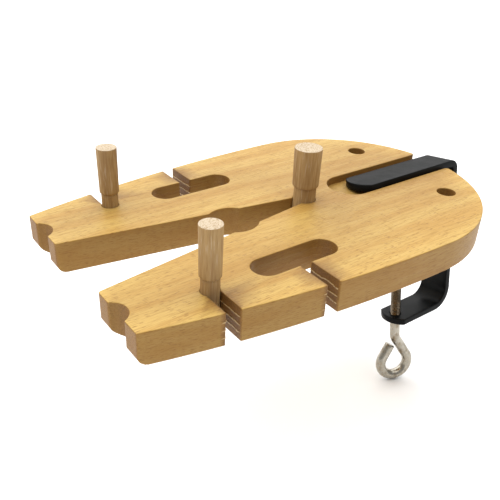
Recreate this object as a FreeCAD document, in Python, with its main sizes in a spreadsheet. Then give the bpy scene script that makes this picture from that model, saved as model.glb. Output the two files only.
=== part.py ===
import FreeCAD, Part
import math
import os
import Sketcher

# A clamp-on forked work board with lift-out pegs, modelled in millimetres.
#
# Frame: +X runs along the board from the arm tips to the clamp end, +Y across it, +Z up.
# The origin is on the board's underside, where it bears on a table, straight above the clamp
# screw. The board is a mirror image of itself about the XZ plane.

DIMENSIONS = [
    # alias, value, what it is
    ("board_thickness", 20.0, "thickness of the board"),
    ("screw_to_tips", 252.0, "clamp screw axis to the arm tips"),
    ("screw_to_widest", 55.0, "clamp screw axis to the widest place"),
    ("rear_radius", 92.5, "half-round clamp end, and half of the greatest width"),
    ("tip_outer_half", 69.0, "centre line to the outer corner of a tip"),
    ("tip_outer_radius", 1.0, "rounding of the arm tips' outer corners in plan"),
    ("tip_inner_radius", 2.0, "rounding of the arm tips' inner corners in plan"),
    ("tip_nose_radius", 6.0, "rounding under the arm tips, in side view"),
    ("arris", 0.6, "easing of the board's top and bottom edges"),
    ("gap_tip_half", 28.0, "half-width of the gap between the arms at the tips"),
    ("gap_crotch_half", 3.6, "half-width of the gap where it meets the crotch hole"),
    ("screw_to_crotch", 92.0, "clamp screw axis to the crotch hole"),
    ("relief_radius", 16.2, "round relief part-way along the gap"),
    ("screw_to_relief", 149.5, "clamp screw axis to the round relief"),
    ("notch_radius", 9.4, "round notch in each arm tip"),
    ("notch_depth", 6.1, "depth of a tip notch"),
    ("notch_half_spacing", 48.2, "centre line to a tip notch"),
    ("notch_corner_radius", 1.6, "rounding where a notch meets the tip"),
    ("slot_width", 8.0, "cutter width of the side slots"),
    ("slot_mouth_radius", 0.8, "rounding of the side slots' mouths"),
    ("screw_to_keyhole", 204.0, "clamp screw axis to the slim peg holes"),
    ("keyhole_half_spacing", 57.5, "centre line to a slim peg hole"),
    ("screw_to_tee", 145.4, "clamp screw axis to the middle of the T-slots"),
    ("tee_half_spacing", 54.8, "centre line to the middle of a T-slot"),
    ("tee_length", 58.5, "end-to-end length of a T-slot's head"),
    ("tee_width", 18.2, "width of a T-slot's head"),
    ("spare_half_spacing", 44.0, "centre line to a spare hole"),
    ("spare_hole_radius", 6.4, "radius of a spare hole beside the clamp"),
    ("channel_width", 31.0, "width of the clamp channel"),
    ("channel_depth", 5.6, "depth of the clamp channel"),
    ("channel_corner_radius", 2.5, "rounding where the channel leaves the board"),
    ("screw_to_channel_end", 66.0, "clamp screw axis to the channel's round end"),
    ("slim_neck_radius", 5.2, "neck of a slim peg"),
    ("slim_head_low_radius", 6.05, "slim peg's head at its shoulder"),
    ("slim_head_top_radius", 6.35, "slim peg's head at its top"),
    ("slim_head_length", 30.0, "length of a slim peg's head"),
    ("slim_standoff", 8.5, "board to a slim peg's shoulder at rest"),
    ("stout_neck_radius", 7.5, "neck of the stout peg"),
    ("stout_head_low_radius", 8.7, "stout peg's head at its shoulder"),
    ("stout_head_top_radius", 9.1, "stout peg's head at its top"),
    ("stout_head_length", 26.5, "length of the stout peg's head"),
    ("stout_standoff", 9.3, "board to the stout peg's shoulder at rest"),
    ("neck_seat_depth", 17.0, "how far a resting peg reaches into the board"),
    ("peg_chamfer", 0.9, "chamfer of a head's shoulder and a neck's foot"),
    ("peg_top_chamfer", 0.35, "broken edge of a head's sawn top"),
    ("peg_fit", 0.07, "radial clearance of a peg in its hole"),
    ("strap_width", 25.0, "width of the clamp's flat bar"),
    ("strap_thickness", 5.0, "thickness of the clamp's flat bar"),
    ("strap_height", 125.0, "overall height of the clamp strap"),
    ("strap_seat_gap", 0.1, "clearance under the strap in its channel"),
    ("throat_depth", 46.0, "clamp screw axis to the inner face of the spine"),
    ("top_leg_length", 100.0, "back of the spine to the end of the top leg"),
    ("low_leg_length", 60.0, "back of the spine to the end of the lower leg"),
    ("leg_end_radius", 16.4, "rounding of the legs' ends in plan"),
    ("top_bend_radius", 2.5, "inner radius of the upper bend"),
    ("low_bend_radius", 12.0, "inner radius of the lower bend"),
    ("strap_edge_radius", 0.6, "rounding of the bar's long edges"),
    ("clamp_lean", 9.5, "lean of the loose clamp about its far lower edge, in degrees"),
    ("clamp_shift", 2.5, "how far the loose clamp lies off the channel's middle"),
    ("screw_radius", 4.0, "outside radius of the M8 thread and of the shank"),
    ("screw_fit", 0.05, "radial clearance in the tapped hole and the pad"),
    ("thread_length", 84.0, "length of the thread"),
    ("thread_chamfer", 0.8, "chamfer at the thread's upper end"),
    ("eye_radius", 12.0, "centre-line radius of the eye"),
    ("eye_flank_angle", 30.0, "lean of the eye's two straight flanks, in degrees"),
    ("eye_drop", 41.0, "start of the plain shank to the centre of the eye"),
    ("eye_bend_radius", 12.0, "centre-line radius of the bend into the eye"),
    ("eye_tail", 13.0, "straight tail that closes the eye"),
    ("eye_turn", 20.0, "clockwise turn of the eye seen from above, in degrees"),
    ("pad_radius", 11.0, "radius of the pressure pad"),
    ("pad_height", 8.0, "height of the pressure pad"),
    ("pad_hub_radius", 7.0, "radius of the pad's hub"),
    ("pad_flange", 2.5, "thickness of the pad's flange"),
    ("swivel_neck_radius", 2.5, "neck that the pad turns on"),
    ("swivel_neck_length", 3.0, "length of that neck inside the pad"),
    ("swivel_head_radius", 3.3, "riveted head that keeps the pad on"),
    ("swivel_head_length", 2.0, "length of the riveted head"),
    ("swivel_end_play", 0.1, "end play of the pad on the screw"),
]

TOLERANCE = 1e-4
EXTRA = 5.0          # how far a cutting sketch runs past the stock


# ---------------------------------------------------------------- sizes

class Size:
    """A length that carries its number and the sheet expression that gives it."""

    def __init__(self, number, text):
        self.number = number
        self.text = text

    def _with(self, sign, other, reverse=False):
        other = other if isinstance(other, Size) else Size(float(other), repr(float(other)))
        left, right = (other, self) if reverse else (self, other)
        number = {"+": lambda: left.number + right.number,
                  "-": lambda: left.number - right.number,
                  "*": lambda: left.number * right.number,
                  "/": lambda: left.number / right.number}[sign]()
        return Size(number, "(%s %s %s)" % (left.text, sign, right.text))

    def __add__(self, other):
        return self._with("+", other)

    def __sub__(self, other):
        return self._with("-", other)

    def __rsub__(self, other):
        return self._with("-", other, reverse=True)

    def __mul__(self, other):
        return self._with("*", other)

    def __truediv__(self, other):
        return self._with("/", other)

    def __neg__(self):
        return self * -1


class Sizes:
    """The sheet's aliases as attributes."""


doc = FreeCAD.newDocument("forked_work_board")
sheet = doc.addObject("Spreadsheet::Sheet", "Sizes")
s = Sizes()
for row, (alias, value, note) in enumerate(DIMENSIONS, start=1):
    sheet.set("A%d" % row, alias)
    sheet.set("B%d" % row, str(value))
    sheet.set("C%d" % row, note)
    sheet.setAlias("B%d" % row, alias)
    setattr(s, alias, Size(value, "Sizes." + alias))
doc.recompute()
ZERO = Size(0.0, "0")


# ---------------------------------------------------------------- helpers

def new_body(label):
    body = doc.addObject("PartDesign::Body", label)
    body.Label = label
    return body


def new_sketch(body, name, plane, height=None):
    """A sketch on one of the body's own origin planes, lifted along its normal if asked."""
    sketch = body.newObject("Sketcher::SketchObject", name)
    origin_plane = [f for f in body.Origin.OriginFeatures if f.Role == plane][0]
    sketch.AttachmentSupport = [(origin_plane, "")]
    sketch.MapMode = "FlatFace"
    if height is not None:
        sketch.setExpression("AttachmentOffset.Base.z", height.text)
    return sketch


def constrain(sketch, kind, *where, to=None):
    """Add a constraint. A dimension starts at its number and then follows the sheet."""
    if to is None:
        sketch.addConstraint(Sketcher.Constraint(kind, *where))
        return
    index = sketch.addConstraint(Sketcher.Constraint(kind, *where, to.number))
    sketch.setExpression("Constraints[%d]" % index, to.text)


def hold(sketch, geometry, point, x=None, y=None):
    """Hold a point of the sketch at a place measured from its origin."""
    for kind, axis, place in (("DistanceX", -2, x), ("DistanceY", -1, y)):
        if place is None:
            continue
        if abs(place.number) < TOLERANCE:
            constrain(sketch, "PointOnObject", geometry, point, axis)
        elif place.number > 0:
            constrain(sketch, kind, -1, 1, geometry, point, to=place)
        else:
            constrain(sketch, kind, geometry, point, -1, 1, to=-place)


def spot(x, y):
    return FreeCAD.Vector(x.number, y.number, 0)


def add_line(sketch, start, end):
    return sketch.addGeometry(Part.LineSegment(spot(*start), spot(*end)), False)


def add_arc(sketch, centre, radius, first, last):
    """An arc drawn anticlockwise between two angles in radians."""
    ring = Part.Circle(spot(*centre), FreeCAD.Vector(0, 0, 1), radius.number)
    return sketch.addGeometry(Part.ArcOfCircle(ring, first, last), False)


def polygon(sketch, corners):
    lines = []
    for start, end in zip(corners, corners[1:] + corners[:1]):
        lines.append(add_line(sketch, start, end))
    for line, following in zip(lines, lines[1:] + lines[:1]):
        constrain(sketch, "Coincident", line, 2, following, 1)
    for line, (x, y) in zip(lines, corners):
        hold(sketch, line, 1, x, y)


def circle(sketch, x, y, radius):
    ring = sketch.addGeometry(Part.Circle(spot(x, y), FreeCAD.Vector(0, 0, 1), radius.number), False)
    hold(sketch, ring, 3, x, y)
    constrain(sketch, "Radius", ring, to=radius)


def stadium(sketch, x, y, length, width):
    """A slot with round ends that runs along the sketch's X axis."""
    radius = width / 2
    reach = (length - width) / 2
    right = add_arc(sketch, (x + reach, y), radius, -math.pi / 2, math.pi / 2)
    left = add_arc(sketch, (x - reach, y), radius, math.pi / 2, 3 * math.pi / 2)
    top = add_line(sketch, (x + reach, y + radius), (x - reach, y + radius))
    bottom = add_line(sketch, (x - reach, y - radius), (x + reach, y - radius))
    constrain(sketch, "Tangent", right, 2, top, 1)
    constrain(sketch, "Tangent", top, 2, left, 1)
    constrain(sketch, "Tangent", left, 2, bottom, 1)
    constrain(sketch, "Tangent", bottom, 2, right, 1)
    constrain(sketch, "Equal", right, left)
    hold(sketch, right, 3, x + reach, y)
    hold(sketch, left, 3, x - reach, y)
    constrain(sketch, "Radius", right, to=radius)


def pad(body, name, sketch, length, midplane=False):
    feature = body.newObject("PartDesign::Pad", name)
    feature.Profile = sketch
    feature.setExpression("Length", length.text)
    feature.Midplane = midplane
    doc.recompute()
    return feature


def pocket(body, name, sketch, depth=None, upwards=False):
    """Cut a sketch along its normal, right through unless a depth is given."""
    before = body.Shape.Volume
    feature = body.newObject("PartDesign::Pocket", name)
    feature.Profile = sketch
    feature.Reversed = upwards
    if depth is None:
        feature.Type = 1
    else:
        feature.setExpression("Length", depth.text)
    doc.recompute()
    if body.Shape.Volume > before - TOLERANCE:
        raise RuntimeError(name + " cut nothing")
    return feature


def revolve(body, name, sketch):
    """Turn a sketch on the XZ plane about the vertical axis."""
    feature = body.newObject("PartDesign::Revolution", name)
    feature.Profile = sketch
    feature.ReferenceAxis = (sketch, ["V_Axis"])
    feature.Angle = 360.0
    doc.recompute()
    return feature


def soften(body, name, edges, radius):
    """Round the chosen edges of the body's last feature."""
    last = body.Tip
    feature = body.newObject("PartDesign::Fillet", name)
    feature.Base = (last, edges)
    feature.setExpression("Radius", radius.text)
    body.Tip = feature
    doc.recompute()
    return feature


def edge_names(body, wanted):
    """Names of the body's edges that a test accepts."""
    return ["Edge%d" % n for n, edge in enumerate(body.Shape.Edges, start=1) if wanted(edge)]


def upright_at(places):
    """A test for upright edges that stand near any of the given places in plan."""
    def wanted(edge):
        box = edge.BoundBox
        if box.XLength > TOLERANCE or box.YLength > TOLERANCE:
            return False
        return any(math.hypot(box.XMin - x, box.YMin - y) < near for x, y, near in places)
    return wanted


def mirrored(places):
    return places + [(x, -y, near) for x, y, near in places]


# ---------------------------------------------------------------- board

def outline(sketch):
    """A half-round clamp end, two long shallow side arcs and a straight front across the tips."""
    taper = s.rear_radius - s.tip_outer_half
    run = s.screw_to_tips - s.screw_to_widest
    side_radius = (run * run + taper * taper) / (taper * 2)
    centre_x = -s.screw_to_widest
    tip_x = -s.screw_to_tips
    side_drop = side_radius - s.rear_radius
    turn = math.asin(run.number / side_radius.number)
    quarter = math.pi / 2

    rear = add_arc(sketch, (centre_x, ZERO), s.rear_radius, -quarter, quarter)
    far = add_arc(sketch, (centre_x, -side_drop), side_radius, quarter, quarter + turn)
    front = add_line(sketch, (tip_x, s.tip_outer_half), (tip_x, -s.tip_outer_half))
    near = add_arc(sketch, (centre_x, side_drop), side_radius, -quarter - turn, -quarter)
    constrain(sketch, "Coincident", rear, 2, far, 1)
    constrain(sketch, "Coincident", far, 2, front, 1)
    constrain(sketch, "Coincident", front, 2, near, 1)
    constrain(sketch, "Coincident", near, 2, rear, 1)
    hold(sketch, rear, 3, centre_x, ZERO)
    hold(sketch, rear, 2, centre_x)
    hold(sketch, rear, 1, centre_x)
    constrain(sketch, "Radius", rear, to=s.rear_radius)
    hold(sketch, far, 3, centre_x)
    hold(sketch, near, 3, centre_x)
    hold(sketch, front, 1, tip_x, s.tip_outer_half)
    hold(sketch, front, 2, tip_x, -s.tip_outer_half)


def make_board():
    body = new_body("board")
    sketch = new_sketch(body, "BoardOutline", "XY_Plane")
    outline(sketch)
    pad(body, "BoardStock", sketch, s.board_thickness)

    def front_low(edge):
        box = edge.BoundBox
        across = box.XLength < TOLERANCE and box.ZLength < TOLERANCE
        return across and box.XMin < TOLERANCE - s.screw_to_tips.number and box.ZMin < TOLERANCE
    soften(body, "TipNoses", edge_names(body, front_low), s.tip_nose_radius)

    # The gap between the arms: straight sides that close to the crotch hole, and a round relief.
    sketch = new_sketch(body, "ArmGap", "XY_Plane")
    past = EXTRA
    slope = (s.gap_tip_half - s.gap_crotch_half) / (s.screw_to_tips - s.screw_to_crotch)
    mouth_half = s.gap_tip_half + slope * past
    polygon(sketch, [(-s.screw_to_tips - past, -mouth_half), (-s.screw_to_crotch, -s.gap_crotch_half),
                     (-s.screw_to_crotch, s.gap_crotch_half), (-s.screw_to_tips - past, mouth_half)])
    pocket(body, "ArmGapCut", sketch, upwards=True)
    sketch = new_sketch(body, "RoundRelief", "XY_Plane")
    circle(sketch, -s.screw_to_relief, ZERO, s.relief_radius)
    pocket(body, "RoundReliefCut", sketch, upwards=True)

    # The stout peg's hole at the crotch, and two spare holes beside the clamp.
    sketch = new_sketch(body, "RoundHoles", "XY_Plane")
    circle(sketch, -s.screw_to_crotch, ZERO, s.stout_neck_radius + s.peg_fit)
    circle(sketch, ZERO, s.spare_half_spacing, s.spare_hole_radius)
    circle(sketch, ZERO, -s.spare_half_spacing, s.spare_hole_radius)
    pocket(body, "RoundHolesCut", sketch, upwards=True)

    # Straight slots from the outer edges to the slim peg holes and to the T-slots' heads.
    sketch = new_sketch(body, "SideSlots", "XY_Plane")
    half = s.slot_width / 2
    outside = s.rear_radius + past
    for centre, inner in ((s.screw_to_keyhole, s.keyhole_half_spacing),
                          (s.screw_to_tee, s.tee_half_spacing)):
        for side in (1, -1):
            polygon(sketch, [(-centre - half, inner * side), (-centre + half, inner * side),
                             (-centre + half, outside * side), (-centre - half, outside * side)])
    pocket(body, "SideSlotsCut", sketch, upwards=True)
    sketch = new_sketch(body, "SlimPegHoles", "XY_Plane")
    for side in (1, -1):
        circle(sketch, -s.screw_to_keyhole, s.keyhole_half_spacing * side,
               s.slim_neck_radius + s.peg_fit)
    pocket(body, "SlimPegHolesCut", sketch, upwards=True)
    sketch = new_sketch(body, "TeeHeads", "XY_Plane")
    for side in (1, -1):
        stadium(sketch, -s.screw_to_tee, s.tee_half_spacing * side, s.tee_length, s.tee_width)
    pocket(body, "TeeHeadsCut", sketch, upwards=True)

    # Round notches in the arm tips.
    sketch = new_sketch(body, "TipNotches", "XY_Plane")
    notch_x = -s.screw_to_tips - s.notch_radius + s.notch_depth
    for side in (1, -1):
        circle(sketch, notch_x, s.notch_half_spacing * side, s.notch_radius)
    pocket(body, "TipNotchesCut", sketch, upwards=True)

    # The clamp channel: round at its front end, open at the rear edge.
    sketch = new_sketch(body, "ClampChannel", "XY_Plane", s.board_thickness)
    half = s.channel_width / 2
    turn_x = -s.screw_to_channel_end + half
    open_x = s.rear_radius - s.screw_to_widest + past
    quarter = math.pi / 2
    end = add_arc(sketch, (turn_x, ZERO), half, quarter, 3 * quarter)
    near = add_line(sketch, (turn_x, -half), (open_x, -half))
    mouth = add_line(sketch, (open_x, -half), (open_x, half))
    far = add_line(sketch, (open_x, half), (turn_x, half))
    constrain(sketch, "Tangent", end, 2, near, 1)
    constrain(sketch, "Coincident", near, 2, mouth, 1)
    constrain(sketch, "Coincident", mouth, 2, far, 1)
    constrain(sketch, "Tangent", far, 2, end, 1)
    hold(sketch, end, 3, turn_x, ZERO)
    constrain(sketch, "Radius", end, to=half)
    hold(sketch, mouth, 1, open_x, -half)
    hold(sketch, mouth, 2, open_x, half)
    pocket(body, "ClampChannelCut", sketch, depth=s.channel_depth)

    soften_board(body)
    return body


def soften_board(body):
    """Round the upright corners in plan, then ease the top and bottom edges."""
    tip_x = -s.screw_to_tips.number
    for name, half, radius in (("TipOuterCorners", s.tip_outer_half, s.tip_outer_radius),
                               ("TipInnerCorners", s.gap_tip_half, s.tip_inner_radius)):
        corner = mirrored([(tip_x, half.number, 1.0)])
        soften(body, name, edge_names(body, upright_at(corner)), radius)

    depth_left = s.notch_radius.number - s.notch_depth.number
    notch_half = math.sqrt(s.notch_radius.number ** 2 - depth_left ** 2)
    notch = [(tip_x, s.notch_half_spacing.number + notch_half, 1.0),
             (tip_x, s.notch_half_spacing.number - notch_half, 1.0)]
    soften(body, "NotchCorners", edge_names(body, upright_at(mirrored(notch))),
           s.notch_corner_radius)

    half = s.slot_width.number / 2
    inner = s.keyhole_half_spacing.number + s.slim_neck_radius.number
    mouths = [(-c.number + h, y) for c in (s.screw_to_keyhole, s.screw_to_tee)
              for h in (half, -half) for y in (s.rear_radius.number,)]

    def slot_mouth(edge):
        box = edge.BoundBox
        upright = box.XLength < TOLERANCE and box.YLength < TOLERANCE
        beyond = abs(box.YMin) > max(inner, s.tee_half_spacing.number + s.tee_width.number / 2 + 1)
        return upright and beyond and any(abs(box.XMin - x) < TOLERANCE for x, _ in mouths)
    soften(body, "SlotMouths", edge_names(body, slot_mouth), s.slot_mouth_radius)

    channel_half = s.channel_width.number / 2
    rear_x = math.sqrt(s.rear_radius.number ** 2 - channel_half ** 2) - s.screw_to_widest.number
    channel = [(rear_x, channel_half, 1.0)]
    soften(body, "ChannelCorners", edge_names(body, upright_at(mirrored(channel))),
           s.channel_corner_radius)

    def rim(edge):
        box = edge.BoundBox
        return box.ZLength < TOLERANCE and any(
            abs(box.ZMin - z) < TOLERANCE for z in (0.0, s.board_thickness.number))
    soften(body, "Arris", edge_names(body, rim), s.arris)


# ---------------------------------------------------------------- pegs

def make_peg(label, x, y, neck_radius, low_radius, top_radius, head_length, standoff):
    """A stepped dowel, drawn about its own axis with the board's top face at height zero."""
    body = new_body(label)
    sketch = new_sketch(body, label + "_profile", "XZ_Plane")
    foot = -s.neck_seat_depth
    top = standoff + head_length
    polygon(sketch, [(ZERO, foot), (neck_radius - s.peg_chamfer, foot),
                     (neck_radius, foot + s.peg_chamfer), (neck_radius, standoff),
                     (low_radius - s.peg_chamfer, standoff), (low_radius, standoff + s.peg_chamfer),
                     (top_radius, top - s.peg_top_chamfer), (top_radius - s.peg_top_chamfer, top),
                     (ZERO, top)])
    revolve(body, label + "_turned", sketch)
    for axis, place in (("x", x), ("y", y), ("z", s.board_thickness)):
        body.setExpression("Placement.Base." + axis, place.text)
    return body


def make_pegs():
    slim = (s.slim_neck_radius, s.slim_head_low_radius, s.slim_head_top_radius,
            s.slim_head_length, s.slim_standoff)
    stout = (s.stout_neck_radius, s.stout_head_low_radius, s.stout_head_top_radius,
             s.stout_head_length, s.stout_standoff)
    return [make_peg("slot_peg_left", -s.screw_to_keyhole, s.keyhole_half_spacing, *slim),
            make_peg("slot_peg_right", -s.screw_to_keyhole, -s.keyhole_half_spacing, *slim),
            make_peg("crotch_peg", -s.screw_to_crotch, ZERO, *stout)]


# ---------------------------------------------------------------- clamp

# The clamp is drawn square, with its screw on the Z axis. Its Placement then lays it in the
# channel as it lies when loose: shifted to the right and leaning about its far lower edge.

strap_top = s.board_thickness - s.channel_depth + s.strap_seat_gap + s.strap_thickness
strap_bottom = strap_top - s.strap_height
spine_back = s.throat_depth + s.strap_thickness


def lean(body):
    """Place a piece of the clamp: shifted, then turned about the round of the far lower edge."""
    angle = s.clamp_lean.number
    cos_lean = Size(math.cos(math.radians(angle)), "cos(%s * 1 deg)" % s.clamp_lean.text)
    sin_lean = Size(math.sin(math.radians(angle)), "sin(%s * 1 deg)" % s.clamp_lean.text)
    reach = s.strap_width / 2 - s.strap_edge_radius
    pivot_z = strap_top - s.strap_thickness + s.strap_edge_radius
    base_y = reach - s.clamp_shift - reach * cos_lean - pivot_z * sin_lean
    base_z = pivot_z + reach * sin_lean - pivot_z * cos_lean
    turn = FreeCAD.Rotation(FreeCAD.Vector(-1, 0, 0), angle)
    body.Placement = FreeCAD.Placement(FreeCAD.Vector(0, base_y.number, base_z.number), turn)
    body.setExpression("Placement.Base.y", base_y.text)
    body.setExpression("Placement.Base.z", base_z.text)
    body.setExpression("Placement.Rotation.Angle", s.clamp_lean.text + " * 1 deg")
    return body


def make_strap():
    """A flat bar bent twice into a C, with rounded ends and a tapped hole in its lower leg."""
    body = new_body("clamp_strap")
    sketch = new_sketch(body, "StrapSide", "XZ_Plane")
    thick = s.strap_thickness
    top_end = spine_back - s.top_leg_length
    low_end = spine_back - s.low_leg_length
    quarter = math.pi / 2
    top_outer = s.top_bend_radius + thick
    low_outer = s.low_bend_radius + thick
    top_centre = (s.throat_depth - s.top_bend_radius, strap_top - top_outer)
    low_centre = (s.throat_depth - s.low_bend_radius, strap_bottom + low_outer)

    top_face = add_line(sketch, (top_centre[0], strap_top), (top_end, strap_top))
    top_cut = add_line(sketch, (top_end, strap_top), (top_end, strap_top - thick))
    top_under = add_line(sketch, (top_end, strap_top - thick), (top_centre[0], strap_top - thick))
    top_in = add_arc(sketch, top_centre, s.top_bend_radius, 0, quarter)
    spine_in = add_line(sketch, (s.throat_depth, top_centre[1]), (s.throat_depth, low_centre[1]))
    low_in = add_arc(sketch, low_centre, s.low_bend_radius, -quarter, 0)
    low_face = add_line(sketch, (low_centre[0], strap_bottom + thick), (low_end, strap_bottom + thick))
    low_cut = add_line(sketch, (low_end, strap_bottom + thick), (low_end, strap_bottom))
    low_under = add_line(sketch, (low_end, strap_bottom), (low_centre[0], strap_bottom))
    low_out = add_arc(sketch, low_centre, low_outer, -quarter, 0)
    spine_out = add_line(sketch, (spine_back, low_centre[1]), (spine_back, top_centre[1]))
    top_out = add_arc(sketch, top_centre, top_outer, 0, quarter)

    for line, following in ((top_face, top_cut), (top_cut, top_under), (low_face, low_cut),
                            (low_cut, low_under)):
        constrain(sketch, "Coincident", line, 2, following, 1)
    constrain(sketch, "Tangent", top_under, 2, top_in, 2)
    constrain(sketch, "Tangent", top_in, 1, spine_in, 1)
    constrain(sketch, "Tangent", spine_in, 2, low_in, 2)
    constrain(sketch, "Tangent", low_in, 1, low_face, 1)
    constrain(sketch, "Tangent", low_under, 2, low_out, 1)
    constrain(sketch, "Tangent", low_out, 2, spine_out, 1)
    constrain(sketch, "Tangent", spine_out, 2, top_out, 1)
    constrain(sketch, "Tangent", top_out, 2, top_face, 1)
    hold(sketch, top_in, 3, *top_centre)
    hold(sketch, top_out, 3, *top_centre)
    hold(sketch, low_in, 3, *low_centre)
    hold(sketch, low_out, 3, *low_centre)
    hold(sketch, top_face, 2, top_end, strap_top)
    hold(sketch, top_cut, 2, top_end, strap_top - thick)
    hold(sketch, low_face, 2, low_end, strap_bottom + thick)
    hold(sketch, low_cut, 2, low_end, strap_bottom)
    constrain(sketch, "Radius", top_in, to=s.top_bend_radius)
    constrain(sketch, "Radius", top_out, to=top_outer)
    constrain(sketch, "Radius", low_in, to=s.low_bend_radius)
    constrain(sketch, "Radius", low_out, to=low_outer)
    pad(body, "StrapBar", sketch, s.strap_width, midplane=True)

    # Round the two ends in plan: what lies outside the end arc is cut away.
    for name, end, height, depth in (
            ("TopLegEnd", top_end, strap_top, thick),
            ("LowLegEnd", low_end, strap_bottom + thick, thick)):
        sketch = new_sketch(body, name, "XY_Plane", height)
        round_end(sketch, end)
        pocket(body, name + "Cut", sketch, depth=depth)

    # The tapped hole, at its major diameter.
    sketch = new_sketch(body, "TappedHole", "XY_Plane", strap_bottom + thick)
    circle(sketch, ZERO, ZERO, s.screw_radius + s.screw_fit)
    pocket(body, "TappedHoleCut", sketch, depth=thick)

    def long_edge(edge):
        box = edge.BoundBox
        side = abs(abs(box.YMin) - s.strap_width.number / 2) < TOLERANCE
        return box.YLength < TOLERANCE and side and edge.Length > thick.number + TOLERANCE
    soften(body, "StrapEdges", edge_names(body, long_edge), s.strap_edge_radius)
    return lean(body)


def round_end(sketch, end):
    """The waste outside a leg's round end: an arc inside a three-sided frame."""
    half = s.strap_width / 2
    radius = s.leg_end_radius
    angle = math.asin(half.number / radius.number)
    corner = end + radius - radius * math.cos(angle)
    frame_x = end - EXTRA
    arc = add_arc(sketch, (end + radius, ZERO), radius, math.pi - angle, math.pi + angle)
    near = add_line(sketch, (corner, -half), (frame_x, -half))
    back = add_line(sketch, (frame_x, -half), (frame_x, half))
    far = add_line(sketch, (frame_x, half), (corner, half))
    constrain(sketch, "Coincident", arc, 2, near, 1)
    constrain(sketch, "Coincident", near, 2, back, 1)
    constrain(sketch, "Coincident", back, 2, far, 1)
    constrain(sketch, "Coincident", far, 2, arc, 1)
    hold(sketch, arc, 3, end + radius, ZERO)
    constrain(sketch, "Radius", arc, to=radius)
    hold(sketch, near, 1, y=-half)
    hold(sketch, far, 2, y=half)
    hold(sketch, back, 1, frame_x, -half)
    hold(sketch, back, 2, frame_x, half)


# ---------------------------------------------------------------- screw and pad

thread_foot = strap_bottom                       # where the thread ends and the plain shank starts
thread_top = thread_foot + s.thread_length
pad_base = thread_top + s.swivel_end_play        # the pad's underside stands on the thread's end
swivel_top = thread_top + s.swivel_neck_length + s.swivel_head_length
eye_height = thread_foot - s.eye_drop


def make_screw():
    """Thread and swivel turned on one axis, then the shank bent into a closed eye."""
    body = new_body("clamp_screw")
    sketch = new_sketch(body, "ThreadAndSwivel", "XZ_Plane")
    neck_top = thread_top + s.swivel_neck_length
    polygon(sketch, [(ZERO, thread_foot), (s.screw_radius, thread_foot),
                     (s.screw_radius, thread_top - s.thread_chamfer),
                     (s.screw_radius - s.thread_chamfer, thread_top),
                     (s.swivel_neck_radius, thread_top), (s.swivel_neck_radius, neck_top),
                     (s.swivel_head_radius, neck_top), (s.swivel_head_radius, swivel_top),
                     (ZERO, swivel_top)])
    revolve(body, "ThreadAndSwivelTurned", sketch)

    # The eye lies in an upright plane through the screw axis, with its centre on that axis.
    flank_turn = math.radians(s.eye_flank_angle.number)
    cos_flank = Size(math.cos(flank_turn), "cos(%s * 1 deg)" % s.eye_flank_angle.text)
    sin_flank = Size(math.sin(flank_turn), "sin(%s * 1 deg)" % s.eye_flank_angle.text)
    tan_half = Size(math.tan(flank_turn / 2), "tan(%s * 0.5 deg)" % s.eye_flank_angle.text)
    side = s.eye_radius * cos_flank
    shoulder = eye_height + s.eye_radius * sin_flank
    apex = eye_height + s.eye_radius / sin_flank
    setback = s.eye_bend_radius * tan_half
    bend_top = apex + setback
    bend_end = (setback * sin_flank, apex - setback * cos_flank)
    tail_end = (s.eye_tail * sin_flank - side, shoulder + s.eye_tail * cos_flank)

    spine = new_sketch(body, "EyeLine", "XZ_Plane")
    upright = FreeCAD.Rotation(FreeCAD.Vector(0, -1, 0), s.eye_turn.number)
    spine.AttachmentOffset = FreeCAD.Placement(FreeCAD.Vector(0, 0, 0), upright)
    spine.setExpression("AttachmentOffset.Rotation.Angle", s.eye_turn.text + " * 1 deg")
    shank = add_line(spine, (ZERO, thread_foot), (ZERO, bend_top))
    bend = add_arc(spine, (s.eye_bend_radius, bend_top), s.eye_bend_radius, math.pi, math.pi + flank_turn)
    flank = add_line(spine, bend_end, (side, shoulder))
    loop = add_arc(spine, (ZERO, eye_height), s.eye_radius,
                   math.pi - flank_turn, 2 * math.pi + flank_turn)
    tail = add_line(spine, (-side, shoulder), tail_end)
    constrain(spine, "Tangent", shank, 2, bend, 1)
    constrain(spine, "Tangent", bend, 2, flank, 1)
    constrain(spine, "Tangent", flank, 2, loop, 2)
    constrain(spine, "Tangent", loop, 1, tail, 1)
    hold(spine, shank, 1, ZERO, thread_foot)
    hold(spine, bend, 3, s.eye_bend_radius, bend_top)
    constrain(spine, "Radius", bend, to=s.eye_bend_radius)
    hold(spine, loop, 3, ZERO, eye_height)
    constrain(spine, "Radius", loop, to=s.eye_radius)
    hold(spine, tail, 1, y=shoulder)
    constrain(spine, "Distance", tail, to=s.eye_tail)

    profile = new_sketch(body, "ShankRound", "XY_Plane", thread_foot)
    circle(profile, ZERO, ZERO, s.screw_radius)
    before = body.Shape.Volume
    pipe = body.newObject("PartDesign::AdditivePipe", "BentEye")
    pipe.Profile = profile
    pipe.Spine = (spine, ["Edge%d" % n for n in range(1, 6)])
    doc.recompute()
    if body.Shape.Volume < before + TOLERANCE:
        raise RuntimeError("BentEye added nothing")
    return lean(body)


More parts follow.
